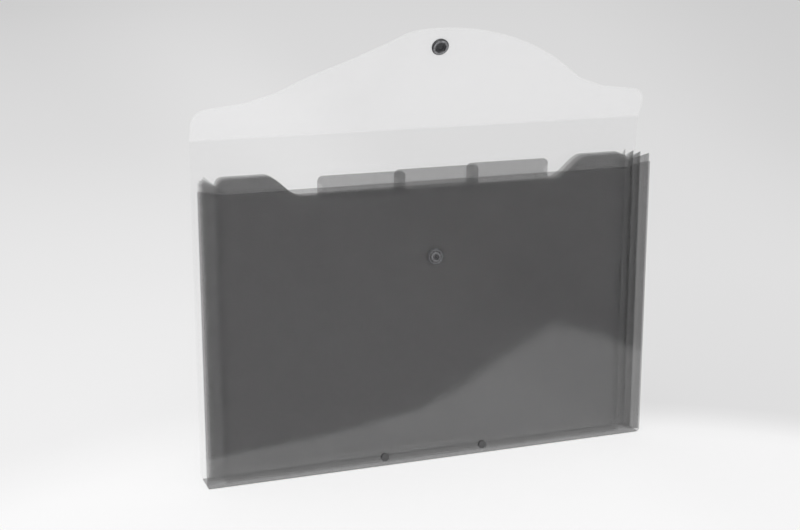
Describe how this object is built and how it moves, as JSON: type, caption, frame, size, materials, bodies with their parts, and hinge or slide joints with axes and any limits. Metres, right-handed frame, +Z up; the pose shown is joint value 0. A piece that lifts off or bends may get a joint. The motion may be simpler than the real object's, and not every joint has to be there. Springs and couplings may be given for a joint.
{
  "type": "document organizer",
  "caption": "Expanding accordion document wallet in smoke-grey sheet, standing open, with tabbed dividers, folded side gussets, a clear back and flap, and a press stud.",
  "frame": {"origin": "middle of the base strip's underside, where the wallet stands", "axes": "+X across the wallet, -Y towards its front sheet, +Z up"},
  "size_m": [0.356, 0.0373, 0.3309],
  "materials": {
    "smoke_sheet": "translucent smoke-grey polypropylene sheet, satin",
    "sleeve_sheet": "thin translucent grey sheet, glossy",
    "clear_sheet": "clear polypropylene sheet, faintly frosted",
    "snap_plastic": "moulded dark plastic, glossy",
    "rivet_plastic": "moulded dark plastic, satin"
  },
  "bodies": {
    "base": {"base_panel": "smoke_sheet", "divider_2": "smoke_sheet", "tab_sleeve_2": "sleeve_sheet", "gusset_right_2": "smoke_sheet", "gusset_left_2": "smoke_sheet", "gusset_right_3": "smoke_sheet", "gusset_left_3": "smoke_sheet"},
    "divider_1": {"divider_1": "smoke_sheet", "tab_sleeve_1": "sleeve_sheet", "gusset_right_1": "smoke_sheet", "gusset_left_1": "smoke_sheet"},
    "front": {"front_panel": "smoke_sheet", "front_hem": "clear_sheet", "snap_stud": "snap_plastic", "snap_stud_cap": "snap_plastic", "rivets": "rivet_plastic", "rivet_washers": "rivet_plastic"},
    "divider_3": {"divider_3": "smoke_sheet", "tab_sleeve_3": "sleeve_sheet", "gusset_right_4": "smoke_sheet", "gusset_left_4": "smoke_sheet"},
    "back": {"back_panel": "clear_sheet"},
    "flap_spine": {"flap_spine": "clear_sheet"},
    "flap_leaf": {"flap_leaf": "clear_sheet", "snap_socket": "snap_plastic", "snap_socket_cap": "snap_plastic"}
  },
  "joints": [
    {"name": "pocket_1_open", "type": "hinge", "parent": "divider_1", "child": "front", "pos_m": [0, -0.01087, 0.0006], "axis": [1, 0, 0], "range_deg": [-0.4, 6], "deforming": ["gusset_right_1", "gusset_left_1"]},
    {"name": "pocket_2_open", "type": "hinge", "parent": "base", "child": "divider_1", "pos_m": [0, -0.00487, 0.00115], "axis": [1, 0, 0], "range_deg": [-0.4, 6], "deforming": ["gusset_right_2", "gusset_left_2"]},
    {"name": "pocket_3_open", "type": "hinge", "parent": "base", "child": "divider_3", "pos_m": [0, 0.00562, 0.00115], "axis": [-1, 0, 0], "range_deg": [-0.4, 6], "deforming": ["gusset_right_3", "gusset_left_3"]},
    {"name": "pocket_4_open", "type": "hinge", "parent": "divider_3", "child": "back", "pos_m": [0, 0.01087, 0.0006], "axis": [-1, 0, 0], "range_deg": [-0.4, 6], "deforming": ["gusset_right_4", "gusset_left_4"]},
    {"name": "flap_hinge", "type": "hinge", "parent": "back", "child": "flap_spine", "pos_m": [0, 0.01287, 0.2292], "axis": [-1, 0, 0], "range_deg": [-83, 130]},
    {"name": "flap_fold", "type": "hinge", "parent": "flap_spine", "child": "flap_leaf", "pos_m": [0, 0.01024, 0.25431], "axis": [-1, 0, 0], "range_deg": [-70.8, 18]}
  ]
}
